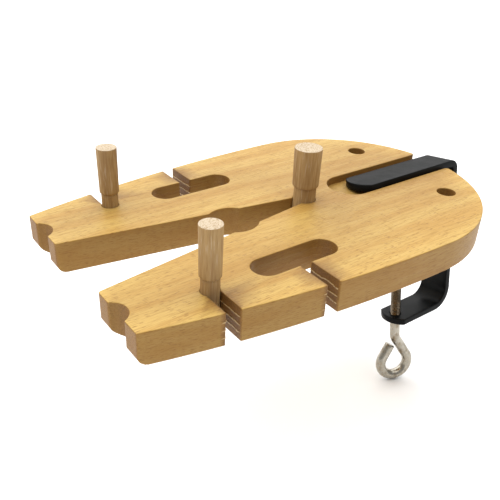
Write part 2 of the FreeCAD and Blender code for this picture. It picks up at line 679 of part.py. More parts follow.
def make_pressure_pad():
    """A flanged disc that turns freely on the screw's riveted head."""
    body = new_body("pressure_pad")
    sketch = new_sketch(body, "PadProfile", "XZ_Plane")
    top = pad_base + s.pad_height
    bore = s.swivel_neck_radius + s.screw_fit
    chamber = s.swivel_head_radius + s.screw_fit
    ledge = thread_top + s.swivel_neck_length - s.swivel_end_play
    roof = swivel_top + s.swivel_end_play
    flange_low = top - s.pad_flange
    polygon(sketch, [(bore, pad_base), (s.pad_hub_radius, pad_base), (s.pad_hub_radius, flange_low),
                     (s.pad_radius, flange_low), (s.pad_radius, top), (ZERO, top), (ZERO, roof),
                     (chamber, roof), (chamber, ledge), (bore, ledge)])
    revolve(body, "PadTurned", sketch)
    return lean(body)


# ---------------------------------------------------------------- build, check and write

bodies = [make_board()] + make_pegs() + [make_strap(), make_screw(), make_pressure_pad()]
doc.recompute()

for item in doc.Objects:
    if "Invalid" in item.State or "Error" in item.State:
        raise RuntimeError("%s did not build: %s" % (item.Label, item.State))
    if item.TypeId == "Sketcher::SketchObject" and not item.FullyConstrained:
        raise RuntimeError("%s is not fully held by its sizes" % item.Label)

os.makedirs("parts", exist_ok=True)
for body in bodies:
    shape = body.Shape
    if shape.isNull() or not shape.isValid() or len(shape.Solids) != 1:
        raise RuntimeError("%s is not one valid solid" % body.Label)
    shape.exportStep("parts/%s.step" % body.Label)
    box = shape.BoundBox
    print("%-16s volume %9.1f mm3  x %.2f %.2f  y %.2f %.2f  z %.2f %.2f" % (
        body.Label, shape.Volume, box.XMin, box.XMax, box.YMin, box.YMax, box.ZMin, box.ZMax))
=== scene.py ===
import math
import random

import bmesh
import bpy
from mathutils import Matrix, Vector, noise
from mathutils.geometry import delaunay_2d_cdt


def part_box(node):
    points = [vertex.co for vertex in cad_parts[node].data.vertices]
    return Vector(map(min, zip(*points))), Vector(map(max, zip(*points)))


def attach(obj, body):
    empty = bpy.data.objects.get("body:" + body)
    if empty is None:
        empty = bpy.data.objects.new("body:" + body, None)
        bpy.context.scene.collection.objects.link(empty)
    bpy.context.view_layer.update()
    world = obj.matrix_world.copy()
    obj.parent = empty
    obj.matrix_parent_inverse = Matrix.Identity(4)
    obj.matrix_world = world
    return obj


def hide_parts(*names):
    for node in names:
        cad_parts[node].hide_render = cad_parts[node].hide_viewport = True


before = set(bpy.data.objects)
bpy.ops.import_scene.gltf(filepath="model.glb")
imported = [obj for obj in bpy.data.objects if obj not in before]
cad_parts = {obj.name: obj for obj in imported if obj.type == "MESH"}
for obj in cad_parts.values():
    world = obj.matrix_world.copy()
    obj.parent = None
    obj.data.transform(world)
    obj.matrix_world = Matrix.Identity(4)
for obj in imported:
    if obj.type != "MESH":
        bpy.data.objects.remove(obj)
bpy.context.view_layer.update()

MM = 0.001
random.seed(11)

# ---------------------------------------------------------------- sizes, in mm, as the CAD has them

THICK = 20.0
REAR_X, REAR_R = -55.0, 92.5
TIP_X, TIP_HALF, TIP_OUTER_R, TIP_INNER_R, NOSE_R = -252.0, 69.0, 1.0, 2.0, 6.0
ARRIS = 0.6
GAP_TIP, GAP_CROTCH, CROTCH_X = 28.0, 3.6, -92.0
RELIEF_X, RELIEF_R = -149.5, 16.2
NOTCH_R, NOTCH_DEEP, NOTCH_Y, NOTCH_ROUND = 9.4, 6.1, 48.2, 1.6
SLOT_HALF, MOUTH_ROUND = 4.0, 0.8
KEY_X, KEY_Y, KEY_R = -204.0, 57.5, 5.27
TEE_X, TEE_Y, TEE_REACH, TEE_R = -145.4, 54.8, 20.15, 9.1
STOUT_R = 7.57
SPARE_Y, SPARE_R = 44.0, 6.4
CHANNEL_HALF, CHANNEL_FLOOR, CHANNEL_END, CHANNEL_ROUND = 15.5, 14.4, -66.0, 2.5


# ---------------------------------------------------------------- mesh helpers

def make_object(name, bm, body, nodes, smooth=True):
    """Turn a mesh drawn in mm into a piece of the frame."""
    bmesh.ops.scale(bm, vec=(MM, MM, MM), verts=bm.verts)
    bmesh.ops.recalc_face_normals(bm, faces=bm.faces)
    mesh = bpy.data.meshes.new(name)
    bm.to_mesh(mesh)
    bm.free()
    if smooth:
        for face in mesh.polygons:
            face.use_smooth = True
    piece = bpy.data.objects.new(name, mesh)
    bpy.context.scene.collection.objects.link(piece)
    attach(piece, body)
    if nodes:
        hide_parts(*nodes)
    return piece


def bridge(bm, low, high, closed=True):
    """Quads between two rings of vertices."""
    faces = []
    last = len(low) if closed else len(low) - 1
    for i in range(last):
        k = (i + 1) % len(low)
        faces.append(bm.faces.new((low[i], low[k], high[k], high[i])))
    return faces


def turned(bm, profile, segments, centre=(0.0, 0.0), wobble=None):
    """Turn (radius, height) pairs about a vertical axis. A radius of 0 closes an end."""
    rings = []
    for radius, height in profile:
        if radius <= 1e-6:
            rings.append([bm.verts.new((centre[0], centre[1], height))])
            continue
        ring = []
        for k in range(segments):
            angle = 2 * math.pi * k / segments
            r, z = wobble(angle, radius, height) if wobble else (radius, height)
            ring.append(bm.verts.new((centre[0] + r * math.cos(angle), centre[1] + r * math.sin(angle), z)))
        rings.append(ring)
    for low, high in zip(rings, rings[1:]):
        if len(low) == 1 or len(high) == 1:
            tip, ring = (low[0], high) if len(low) == 1 else (high[0], low)
            for k in range(segments):
                bm.faces.new((tip, ring[k], ring[(k + 1) % segments]))
        else:
            bridge(bm, low, high)
    return rings


def steps(start, end, spacing):
    count = max(1, int(round(abs(end - start) / spacing)))
    return [start + (end - start) * i / count for i in range(count + 1)]


# ---------------------------------------------------------------- board outline

class Outline:
    """A run of points in plan, each with a tag that says which surface it is on."""

    def __init__(self):
        self.points = []
        self.tags = []

    def add(self, x, y, tag):
        if self.points and math.hypot(x - self.points[-1][0], y - self.points[-1][1]) < 0.02:
            return
        self.points.append((x, y))
        self.tags.append(tag)

    def line(self, end, tag, spacing=1.2):
        x0, y0 = self.points[-1]
        count = max(1, int(math.hypot(end[0] - x0, end[1] - y0) / spacing))
        for i in range(1, count + 1):
            t = i / count
            self.add(x0 + (end[0] - x0) * t, y0 + (end[1] - y0) * t, tag)

    def arc(self, centre, radius, first, last, tag, spacing=1.0):
        count = max(3, int(abs(last - first) * radius / spacing))
        for i in range(count + 1):
            a = first + (last - first) * i / count
            self.add(centre[0] + radius * math.cos(a), centre[1] + radius * math.sin(a), tag)

    def corner(self, at, before, after, radius, tag):
        """Round a corner between two nearly straight runs. before and after are unit directions."""
        turn = math.acos(max(-1, min(1, before[0] * after[0] + before[1] * after[1])))
        reach = radius * math.tan(turn / 2)
        side = 1 if before[0] * after[1] - before[1] * after[0] > 0 else -1
        sx, sy = at[0] - before[0] * reach, at[1] - before[1] * reach
        cx, cy = sx - before[1] * radius * side, sy + before[0] * radius * side
        start = math.atan2(sy - cy, sx - cx)
        self.line((sx, sy), tag, 1.5)
        self.arc((cx, cy), radius, start, start + turn * side, tag, radius / 5)


SIDE_R = ((REAR_X - TIP_X) ** 2 + (REAR_R - TIP_HALF) ** 2) / (2 * (REAR_R - TIP_HALF))


def side_y(x):
    return REAR_R - SIDE_R + math.sqrt(SIDE_R ** 2 - (x - REAR_X) ** 2)


def side_heading(x):
    """Unit direction along the side arc, towards the tips."""
    slope = -(x - REAR_X) / math.sqrt(SIDE_R ** 2 - (x - REAR_X) ** 2)
    size = math.hypot(1, slope)
    return (-1 / size, -slope / size)


def side_run(path, x_end, tag="side", spacing=2.5):
    x0 = path.points[-1][0]
    for x in steps(x0, x_end, spacing)[1:]:
        path.add(x, side_y(x), tag)


def into_slot(path, x):
    heading = side_heading(x)
    side_run(path, x + 1.6)
    path.corner((x, side_y(x)), heading, (0, -1), MOUTH_ROUND, "side")


def out_of_slot(path, x):
    heading = side_heading(x)
    path.corner((x, side_y(x)), (0, 1), heading, MOUTH_ROUND, "slot")


def half_outline():
    """The +Y half of the outline, from the channel's corner on the rear arc to the crotch."""
    path = Outline()
    quarter = math.pi / 2
    corner_angle = math.asin((CHANNEL_HALF + CHANNEL_ROUND) / (REAR_R - CHANNEL_ROUND))
    path.arc((REAR_X, 0), REAR_R, corner_angle, quarter, "rear", 1.6)

    into_slot(path, TEE_X + SLOT_HALF)
    path.line((TEE_X + SLOT_HALF, TEE_Y + TEE_R), "slot")
    path.line((TEE_X + TEE_REACH, TEE_Y + TEE_R), "tee")
    path.arc((TEE_X + TEE_REACH, TEE_Y), TEE_R, quarter, -quarter, "tee")
    path.line((TEE_X - TEE_REACH, TEE_Y - TEE_R), "tee")
    path.arc((TEE_X - TEE_REACH, TEE_Y), TEE_R, -quarter, -3 * quarter, "tee")
    path.line((TEE_X - SLOT_HALF, TEE_Y + TEE_R), "tee")
    out_of_slot(path, TEE_X - SLOT_HALF)

    into_slot(path, KEY_X + SLOT_HALF)
    lip = math.acos(SLOT_HALF / KEY_R)
    path.line((KEY_X + SLOT_HALF, KEY_Y + KEY_R * math.sin(lip)), "slot")
    path.arc((KEY_X, KEY_Y), KEY_R, lip, -math.pi - lip, "hole", 0.8)
    out_of_slot(path, KEY_X - SLOT_HALF)

    side_run(path, TIP_X + 5)
    heading = side_heading(TIP_X)
    path.corner((TIP_X, TIP_HALF), heading, (0, -1), TIP_OUTER_R, "tip")
    notch_x = TIP_X - NOTCH_R + NOTCH_DEEP
    lean = math.acos((TIP_X + NOTCH_ROUND - notch_x) / (NOTCH_R + NOTCH_ROUND))
    reach = (NOTCH_R + NOTCH_ROUND) * math.sin(lean)
    path.line((TIP_X, NOTCH_Y + reach), "tip")
    path.arc((TIP_X + NOTCH_ROUND, NOTCH_Y + reach), NOTCH_ROUND, math.pi, math.pi + lean, "tip", 0.35)
    path.arc((notch_x, NOTCH_Y), NOTCH_R, lean, -lean, "notch", 0.7)
    path.arc((TIP_X + NOTCH_ROUND, NOTCH_Y - reach), NOTCH_ROUND, math.pi - lean, math.pi, "tip", 0.35)
    run, drop = CROTCH_X - TIP_X, GAP_TIP - GAP_CROTCH
    length = math.hypot(run, drop)
    gap = (run / length, -drop / length)
    path.corner((TIP_X, GAP_TIP), (0, -1), gap, TIP_INNER_R, "tip")

    def gap_y(x):
        return GAP_TIP - drop / run * (x - TIP_X)

    def meets(centre_x, radius, sign):
        """Where the gap's side meets a circle on the centre line."""
        slope = -drop / run
        base = GAP_TIP - slope * TIP_X
        a, b, c = 1 + slope ** 2, 2 * (slope * base - centre_x), centre_x ** 2 + base ** 2 - radius ** 2
        return (-b + sign * math.sqrt(b * b - 4 * a * c)) / (2 * a)
    enter, leave = meets(RELIEF_X, RELIEF_R, -1), meets(RELIEF_X, RELIEF_R, 1)
    path.line((enter, gap_y(enter)), "gap", 2.0)
    path.arc((RELIEF_X, 0), RELIEF_R, math.atan2(gap_y(enter), enter - RELIEF_X),
             math.atan2(gap_y(leave), leave - RELIEF_X), "gap")
    crotch = meets(CROTCH_X, STOUT_R, -1)
    path.line((crotch, gap_y(crotch)), "gap", 2.0)
    path.arc((CROTCH_X, 0), STOUT_R, math.atan2(gap_y(crotch), crotch - CROTCH_X), 0, "hole", 0.8)
    return path


def half_channel():
    """The +Y half of the channel's wall, from its round end to its corner on the rear arc."""
    path = Outline()
    quarter = math.pi / 2
    path.arc((CHANNEL_END + CHANNEL_HALF, 0), CHANNEL_HALF, 2 * quarter, quarter, "channel")
    reach = REAR_R - CHANNEL_ROUND
    lift = CHANNEL_HALF + CHANNEL_ROUND
    cx = REAR_X + math.sqrt(reach ** 2 - lift ** 2)
    path.line((cx, CHANNEL_HALF), "channel", 2.0)
    path.arc((cx, lift), CHANNEL_ROUND, -quarter, math.asin(lift / reach), "channel", 0.5)
    return path


def mirrored(points):
    return [(x, -y) for x, y in reversed(points)]


def outward(points):
    """Outward normals of a closed anticlockwise loop, mitred at corners."""
    normals = []
    count = len(points)
    for i, (x, y) in enumerate(points):
        px, py = points[i - 1]
        nx, ny = points[(i + 1) % count]
        a = Vector((y - py, px - x)).normalized()
        b = Vector((ny - y, x - nx)).normalized()
        mean = a + b
        if mean.length < 1e-6:
            mean = a
        mean.normalize()
        normals.append(mean / max(0.5, mean.dot(a)))
    return normals


def inside(x, y, points):
    hit = False
    j = len(points) - 1
    for i, (xi, yi) in enumerate(points):
        xj, yj = points[j]
        if (yi > y) != (yj > y) and x < (xj - xi) * (y - yi) / (yj - yi) + xi:
            hit = not hit
        j = i
    return hit


def cap(bm, loops):
    """Fill a flat region bounded by loops of vertices: the first is the outline, others are holes."""
    flat, edges, owners = [], [], []
    for loop in loops:
        start = len(flat)
        flat += [Vector((v.co.x, v.co.y)) for v in loop]
        owners += loop
        edges += [(start + i, start + (i + 1) % len(loop)) for i in range(len(loop))]
    out = delaunay_2d_cdt(flat, edges, [], 0, 1e-5)
    coords, faces, origin = out[0], out[2], out[3]
    outlines = [[(v.co.x, v.co.y) for v in loop] for loop in loops]
    made = []
    for face in faces:
        x = sum(coords[i].x for i in face) / len(face)
        y = sum(coords[i].y for i in face) / len(face)
        if not inside(x, y, outlines[0]) or any(inside(x, y, hole) for hole in outlines[1:]):
            continue
        made.append(bm.faces.new([owners[origin[i][0]] for i in face]))
    return made


# ---------------------------------------------------------------- board

RIDGES = (4.9, 9.6, 14.6)       # heights of the ridges the cutter's passes left in the slots


def ridge_at(x, y, z):
    """0 to 1 on the crest of a cutter ridge, which wanders up and down along the wall."""
    best = 0.0
    for k, height in enumerate(RIDGES):
        wander = 0.9 * noise.noise(Vector((x * 0.16, y * 0.16, 7.3 * k)))
        wander += 0.35 * noise.noise(Vector((x * 0.7, y * 0.7, 3.1 * k)))
        best = max(best, math.exp(-((z - height - wander) / 0.42) ** 2))
    return best


def wall_relief(tag, x, y, z):
    """How far the wall stands out from its nominal place, in mm, and how much of it is a ridge."""
    spot = Vector((x * 0.35, y * 0.35, z * 0.5))
    if tag == "slot":
        crest = ridge_at(x, y, z)
        return 0.30 * crest - 0.10 + 0.10 * noise.noise(spot * 3.0), crest
    if tag == "tee":
        crest = ridge_at(x, y, z)
        return 0.10 * crest - 0.04 + 0.05 * noise.noise(spot * 2.0), 0.35 * crest
    if tag == "hole":
        return -0.015 + 0.015 * noise.noise(spot * 3.0), 0.0
    if tag in ("gap", "notch"):
        return -0.04 + 0.04 * noise.noise(spot), 0.0
    if tag == "channel":
        return -0.03 + 0.03 * noise.noise(spot * 2.0), 0.0
    return -0.03 + 0.025 * noise.noise(spot * 0.6), 0.0


def nose_x(z):
    """The furthest forward the arm tips reach at a height: their lower edge is rounded off."""
    rise = max(0.0, 1.0 - z / NOSE_R)
    return TIP_X + NOSE_R * (1.0 - math.sqrt(1.0 - rise * rise))


def board_levels():
    """Heights of the wall's rings with how far each is drawn in by the eased edges."""
    levels = []
    for step in range(4):
        t = math.radians(30 * step)
        levels.append((ARRIS * (1 - math.cos(t)), ARRIS * (1 - math.sin(t))))
    body = steps(ARRIS, CHANNEL_FLOOR, 0.5)[1:] + steps(CHANNEL_FLOOR, THICK - ARRIS, 0.5)[1:-1]
    levels += [(z, 0.0) for z in body]
    for step in range(3, -1, -1):
        t = math.radians(30 * step)
        levels.append((THICK - ARRIS * (1 - math.cos(t)), ARRIS * (1 - math.sin(t))))
    return levels


def make_board():
    bm = bmesh.new()
    ridge_layer = bm.verts.layers.float.new("ridge")
    cut_and_shade_layer = bm.verts.layers.float.new("cut")
    marks = bm.faces.layers.int.new("flat")
    # How far each wall's colour is drawn to the dark cut tone: partly rough torn end grain, partly painted
    # shade, heaviest in the narrow slots.
    cut_and_shade_share = {"slot": 1.0, "tee": 0.35, "hole": 0.35, "channel": 0.5, "notch": 0.3, "gap": 0.15}

    half = half_outline()
    common = half.points + mirrored(half.points[:-1])
    common_tags = half.tags + list(reversed(half.tags[:-1]))
    channel = half_channel()
    channel_half = channel.points[:-1]
    channel_tags_half = channel.tags[:-1]
    channel_points = mirrored(channel_half)[:-1] + channel_half
    channel_tags = list(reversed(channel_tags_half))[:-1] + channel_tags_half
    edge_angle = math.asin((CHANNEL_HALF + CHANNEL_ROUND) / (REAR_R - CHANNEL_ROUND))
    rear = []
    for a in steps(-edge_angle, edge_angle, 0.018)[1:-1]:
        rear.append((REAR_X + REAR_R * math.cos(a), REAR_R * math.sin(a)))
    low_points, low_tags = common + rear, common_tags + ["rear"] * len(rear)
    high_points, high_tags = common + channel_points, common_tags + channel_tags
    low_normals, high_normals = outward(low_points), outward(high_points)

    def ring(points, tags, normals, z, inset, first=0):
        verts = []
        for (x, y), tag, normal in list(zip(points, tags, normals))[first:]:
            relief, crest = wall_relief(tag, x, y, z)
            fade = 1.0 if inset == 0 else 0.0
            out = relief * fade - inset
            v = bm.verts.new((max(x + normal.x * out, nose_x(z)), y + normal.y * out, z))
            v[ridge_layer] = crest * fade
            v[cut_and_shade_layer] = cut_and_shade_share.get(tag, 0.0)
            verts.append(v)
        return verts

    rings_low, rings_high = [], []
    for z, inset in board_levels():
        if z < CHANNEL_FLOOR - 1e-6:
            rings_low.append(ring(low_points, low_tags, low_normals, z, inset))
        elif z < CHANNEL_FLOOR + 1e-6:
            shared = ring(common, common_tags, low_normals[:len(common)], z, inset)
            rings_low.append(shared + ring(low_points, low_tags, low_normals, z, inset, len(common)))
            rings_high.append(shared + ring(high_points, high_tags, high_normals, z, 0.0, len(common)))
        else:
            rings_high.append(ring(high_points, high_tags, high_normals, z, inset))
    for rings in (rings_low, rings_high):
        for low, high in zip(rings, rings[1:]):
            bridge(bm, low, high)

    # The channel's floor lies between its wall and the rear arc.
    count = len(common)
    floor_loop = [rings_high[0][count - 1]] + rings_high[0][count:] + [rings_high[0][0]]
    floor_loop += list(reversed(rings_low[-1][count:]))
    floor = cap(bm, [floor_loop])

    # Spare holes, plain and through.
    tops, bottoms = [], []
    for side in (1, -1):
        hole_rings = []
        for z, inset in board_levels():
            verts = []
            for k in range(64):
                a = 2 * math.pi * k / 64
                x, y = SPARE_R * math.cos(a), SPARE_Y * side + SPARE_R * math.sin(a)
                relief, _ = wall_relief("hole", x, y, z)
                r = SPARE_R + inset - (relief if inset == 0 else 0)
                v = bm.verts.new((r * math.cos(a), SPARE_Y * side + r * math.sin(a), z))
                v[cut_and_shade_layer] = cut_and_shade_share["hole"]
                verts.append(v)
            hole_rings.append(verts)
        for low, high in zip(hole_rings, hole_rings[1:]):
            bridge(bm, low, high)
        bottoms.append(hole_rings[0])
        tops.append(hole_rings[-1])
    flat = cap(bm, [rings_high[-1]] + tops) + cap(bm, [rings_low[0]] + bottoms) + floor
    for face in flat:
        face[marks] = 1
    piece = make_object("board_wood", bm, "board", ["board"])
    values = piece.data.attributes["flat"].data
    for face, value in zip(piece.data.polygons, values):
        face.use_smooth = value.value == 0
    return piece


board = make_board()


# ---------------------------------------------------------------- pegs

PEG_DEPTH = 17.0


def make_peg(name, node, body, centre, neck_r, low_r, top_r, standoff, head, seed):
    """A turned dowel: a neck that stands in the board and a slightly tapered, chamfered head."""
    draw = random.Random(seed)
    shift = Vector((draw.uniform(0, 90), draw.uniform(0, 90), draw.uniform(0, 90)))
    foot, deck = THICK - PEG_DEPTH, THICK
    shoulder, top = deck + standoff, deck + standoff + head

    def wobble(angle, radius, height):
        streak = noise.noise(Vector((math.cos(angle) * 3.2, math.sin(angle) * 3.2, height * 0.05)) + shift)
        fibre = noise.noise(Vector((math.cos(angle) * 14, math.sin(angle) * 14, height * 0.22)) + shift)
        in_hole = height < deck
        size = 0.02 if in_hole else 0.05
        r = radius - size + size * (0.6 * streak + 0.4 * fibre)
        if height > top - 0.05 and radius < top_r - 0.2:
            spot = Vector((radius * math.cos(angle), radius * math.sin(angle), 0.0))
            height -= 0.10 + 0.10 * noise.noise(spot * 1.3 + shift) + 0.06 * noise.noise(spot * 3.5 + shift)
        return r, height

    profile = [(0.0, foot), (neck_r - 2.0, foot), (neck_r - 0.9, foot), (neck_r, foot + 0.9)]
    profile += [(neck_r, z) for z in steps(foot + 0.9, shoulder - 0.35, 1.5)[1:]]
    profile += [(neck_r - 0.15, shoulder - 0.1), (neck_r - 0.2, shoulder)]
    profile += [(low_r - 0.9, shoulder), (low_r - 0.45, shoulder + 0.32), (low_r, shoulder + 0.9)]
    span = top - 0.35 - (shoulder + 0.9)
    for z in steps(shoulder + 0.9, top - 0.35, 1.0)[1:]:
        share = (z - shoulder - 0.9) / span
        profile.append((low_r + (top_r - low_r) * share, z))
    profile += [(top_r - 0.10, top - 0.12), (top_r - 0.35, top)]
    profile += [(r, top) for r in steps(top_r - 0.35, 0.6, 0.6)[1:]]
    profile.append((0.0, top - 0.1))
    bm = bmesh.new()
    turned(bm, profile, 96, centre, wobble)
    return make_object(name, bm, body, [node])


# Radii of the neck, of the head at its shoulder and at its top, then the neck's and head's lengths.
slim = (5.2, 6.05, 6.35, 8.5, 30.0)
stout = (7.5, 8.7, 9.1, 9.3, 26.5)
pegs = [
    make_peg("slot_peg_left_wood", "slot_peg_left", "left_peg", (KEY_X, KEY_Y), *slim, 21),
    make_peg("slot_peg_right_wood", "slot_peg_right", "right_peg", (KEY_X, -KEY_Y), *slim, 22),
    make_peg("crotch_peg_wood", "crotch_peg", "stout_peg", (CROTCH_X, 0.0), *stout, 23),
]


# ---------------------------------------------------------------- clamp strap

STRAP_HALF, STRAP_T, STRAP_R = 12.5, 5.0, 0.6
STRAP_TOP = 19.5
STRAP_LOW = STRAP_TOP - 125.0
SPINE_IN, SPINE_OUT = 46.0, 51.0
TOP_END, LOW_END = SPINE_OUT - 100.0, SPINE_OUT - 60.0
LEG_END_R = 16.4
TOP_BEND, LOW_BEND = 2.5, 12.0
TAP_R = 4.25
CLAMP_LEAN, CLAMP_SHIFT, EYE_TURN = math.radians(9.5), 2.5, math.radians(20.0)


def lean(piece, turn=0.0):
    """Lay a piece of the clamp, drawn square, as the loose clamp lies: about its far lower edge."""
    pivot = Vector((0.0, STRAP_HALF - STRAP_R - CLAMP_SHIFT, STRAP_TOP - STRAP_T + STRAP_R)) * MM
    shift = Matrix.Translation((0.0, -CLAMP_SHIFT * MM, 0.0))
    tilt = Matrix.Translation(pivot) @ Matrix.Rotation(-CLAMP_LEAN, 4, "X") @ Matrix.Translation(-pivot)
    piece.data.transform(tilt @ shift @ Matrix.Rotation(-turn, 4, "Z"))


def strap_line():
    """Stations along the bar's inner face: (x, z, outward direction in XZ, part of the bar)."""
    stations = []
    inner_top, inner_low = STRAP_TOP - STRAP_T, STRAP_LOW + STRAP_T
    for x in steps(TOP_END, SPINE_IN - TOP_BEND, 3.0)[:-1]:
        stations.append((x, inner_top, (0.0, 1.0), "top"))
    for step in range(9):
        a = math.radians(90 - 90 * step / 8)
        cx, cz = SPINE_IN - TOP_BEND, inner_top - TOP_BEND
        stations.append((cx + TOP_BEND * math.cos(a), cz + TOP_BEND * math.sin(a),
                         (math.cos(a), math.sin(a)), "bend"))
    for z in steps(inner_top - TOP_BEND, inner_low + LOW_BEND, 4.0)[1:-1]:
        stations.append((SPINE_IN, z, (1.0, 0.0), "spine"))
    for step in range(15):
        a = math.radians(-90 * step / 14)
        cx, cz = SPINE_IN - LOW_BEND, inner_low + LOW_BEND
        stations.append((cx + LOW_BEND * math.cos(a), cz + LOW_BEND * math.sin(a),
                         (math.cos(a), math.sin(a)), "bend"))
    for x in steps(SPINE_IN - LOW_BEND, LOW_END, 2.0)[1:]:
        stations.append((x, inner_low, (0.0, -1.0), "low"))
    return stations


def strap_section(shrink=0.0):
    """The bar's rounded section: (across, out) pairs with the inner face at out = 0."""
    r, section = STRAP_R, []
    half = STRAP_HALF
    corners = (
        (half - r, r, -90),
        (half - r, STRAP_T - r, 0),
        (-half + r, STRAP_T - r, 90),
        (-half + r, r, 180),
    )
    for cy, co, first in corners:
        for step in range(5):
            a = math.radians(first + 90 * step / 4)
            section.append((cy + (r - shrink) * math.cos(a), co + (r - shrink) * math.sin(a)))
        if first in (0, 180):
            far = 1 if first == 0 else -1
            for share in range(1, 12):
                y = far * (half - r) * (1 - share / 6)
                section.append((y, STRAP_T - r + (r - shrink) if first == 0 else r - (r - shrink)))
    return section


def make_strap():
    bm = bmesh.new()
    stations = strap_line()
    legs = {"top": (TOP_BEND, TOP_END), "low": (LOW_BEND, LOW_END)}

    def set_back(y):
        return LEG_END_R - math.sqrt(LEG_END_R ** 2 - y ** 2)

    def lay(station, section, push=0.0):
        x, z, out, part = station
        ring = []
        for y, o in section:
            px, pz = x + out[0] * o, z + out[1] * o
            if part in legs:
                bend, end = legs[part]
                free = (SPINE_IN - bend - x) / (SPINE_IN - bend - end)
                px += (set_back(min(abs(y), STRAP_HALF)) + push) * free ** 2
            ring.append(bm.verts.new((px, y, pz)))
        return ring

    section = strap_section()
    rings = [lay(stations[0], strap_section(0.45), 0.0), lay(stations[0], strap_section(0.12), 0.15)]
    rings += [lay(stations[0], section, 0.5)]
    rings += [lay(s, section) for s in stations[1:-1]]
    rings += [lay(stations[-1], section, 0.5), lay(stations[-1], strap_section(0.12), 0.15)]
    rings += [lay(stations[-1], strap_section(0.45), 0.0)]
    for low, high in zip(rings, rings[1:]):
        bridge(bm, low, high)
    for ring in (rings[0], rings[-1]):
        bm.faces.new(ring)
    bmesh.ops.triangulate(bm, faces=[f for f in bm.faces if len(f.verts) > 4])
    return make_object("clamp_strap_bar", bm, "strap", ["clamp_strap"])


strap = make_strap()


def cut_hole(piece, radius, mouth, low, high):
    """Bore a chamfered vertical hole through a piece on the screw's axis."""
    bm = bmesh.new()
    deep = 2.0
    chamfer = mouth - radius
    turned(bm, [(0.0, low - deep), (mouth + deep, low - deep), (mouth, low), (radius, low + chamfer),
                (radius, high - chamfer), (mouth, high), (mouth + deep, high + deep), (0.0, high + deep)], 64)
    bmesh.ops.scale(bm, vec=(MM, MM, MM), verts=bm.verts)
    bmesh.ops.recalc_face_normals(bm, faces=bm.faces)
    mesh = bpy.data.meshes.new("cutter")
    bm.to_mesh(mesh)
    bm.free()
    cutter = bpy.data.objects.new("cutter", mesh)
    bpy.context.scene.collection.objects.link(cutter)
    change = piece.modifiers.new("hole", "BOOLEAN")
    change.operation = "DIFFERENCE"
    change.solver = "EXACT"
    change.object = cutter
    graph = bpy.context.evaluated_depsgraph_get()
    result = bpy.data.meshes.new_from_object(piece.evaluated_get(graph))
    piece.modifiers.clear()
    old = piece.data
    piece.data = result
    bpy.data.meshes.remove(old)
    bpy.data.objects.remove(cutter)
    bpy.data.meshes.remove(mesh)


cut_hole(strap, TAP_R, TAP_R + 0.5, STRAP_LOW, STRAP_LOW + STRAP_T)
lean(strap)


# ---------------------------------------------------------------- clamp screw

SCREW_R, PITCH = 4.0, 1.25
THREAD_ROOT = 3.32
SWIVEL_NECK_R, SWIVEL_HEAD_R = 2.5, 3.3
THREAD_LOW, THREAD_TOP = STRAP_LOW, STRAP_LOW + 84.0
EYE_R, EYE_Z, EYE_LEAN, EYE_BEND, EYE_TAIL = 12.0, STRAP_LOW - 41.0, math.radians(30), 12.0, 13.0


def make_thread():
    """A right-handed ridge wound round the core, run out at both ends."""
    bm = bmesh.new()
    around = 36
    shape = ((0.0, 0.0), (0.30, 0.0), (0.52, 0.86), (0.62, 1.0), (0.72, 1.0), (0.82, 0.86))
    turns = (THREAD_TOP - THREAD_LOW) / PITCH
    total = int(turns * around)
    columns = []
    for i in range(total + 1):
        angle = 2 * math.pi * i / around
        base = THREAD_LOW + PITCH * (i / around) - PITCH * 0.5
        column = []
        for share, lift in shape:
            z = base + share * PITCH
            fade = max(0.0, min(1.0, (z - THREAD_LOW) / 1.0, (THREAD_TOP - 0.3 - z) / 0.9))
            z = max(THREAD_LOW, min(THREAD_TOP, z))
            r = THREAD_ROOT + (SCREW_R - 0.02 - THREAD_ROOT) * lift * fade
            column.append(bm.verts.new((r * math.cos(angle), r * math.sin(angle), z)))
        columns.append(column)
    for a, b in zip(columns, columns[1:]):
        for k in range(len(shape) - 1):
            bm.faces.new((a[k], b[k], b[k + 1], a[k + 1]))
    for i in range(total + 1 - around):
        a, upper = columns[i], columns[i + around]
        if i + 1 + around <= total:
            b, next_upper = columns[i + 1], columns[i + 1 + around]
            bm.faces.new((a[-1], b[-1], next_upper[0], upper[0]))
    bmesh.ops.remove_doubles(bm, verts=bm.verts, dist=0.0005)
    # The riveted neck and head inside the pad, and a core that closes the thread.
    core = THREAD_ROOT - 0.03
    turned(bm, [(0.0, THREAD_LOW), (core, THREAD_LOW), (core, THREAD_TOP), (SWIVEL_NECK_R, THREAD_TOP),
                (SWIVEL_NECK_R, THREAD_TOP + 3.0), (SWIVEL_HEAD_R, THREAD_TOP + 3.0),
                (SWIVEL_HEAD_R, THREAD_TOP + 4.6), (2.9, THREAD_TOP + 5.0), (0.0, THREAD_TOP + 5.0)], 48)
    return bm


def eye_line():
    """Points along the shank, the bend, the flank, the loop and the tail, in the XZ plane."""
    side, shoulder = EYE_R * math.cos(EYE_LEAN), EYE_Z + EYE_R * math.sin(EYE_LEAN)
    apex = EYE_Z + EYE_R / math.sin(EYE_LEAN)
    setback = EYE_BEND * math.tan(EYE_LEAN / 2)
    points = [(0.0, z) for z in steps(THREAD_LOW, apex + setback, 2.0)]
    for step in range(1, 9):
        a = math.pi + EYE_LEAN * step / 8
        points.append((EYE_BEND + EYE_BEND * math.cos(a), apex + setback + EYE_BEND * math.sin(a)))
    start = points[-1]
    for t in (0.25, 0.5, 0.75):
        points.append((start[0] + (side - start[0]) * t, start[1] + (shoulder - start[1]) * t))
    first, last = EYE_LEAN, math.pi - EYE_LEAN - 2 * math.pi
    for step in range(49):
        a = first + (last - first) * step / 48
        points.append((EYE_R * math.cos(a), EYE_Z + EYE_R * math.sin(a)))
    start = points[-1]
    run = (math.sin(EYE_LEAN), math.cos(EYE_LEAN))
    for t in steps(0.0, EYE_TAIL, 2.0)[1:]:
        points.append((start[0] + run[0] * t, start[1] + run[1] * t))
    return points


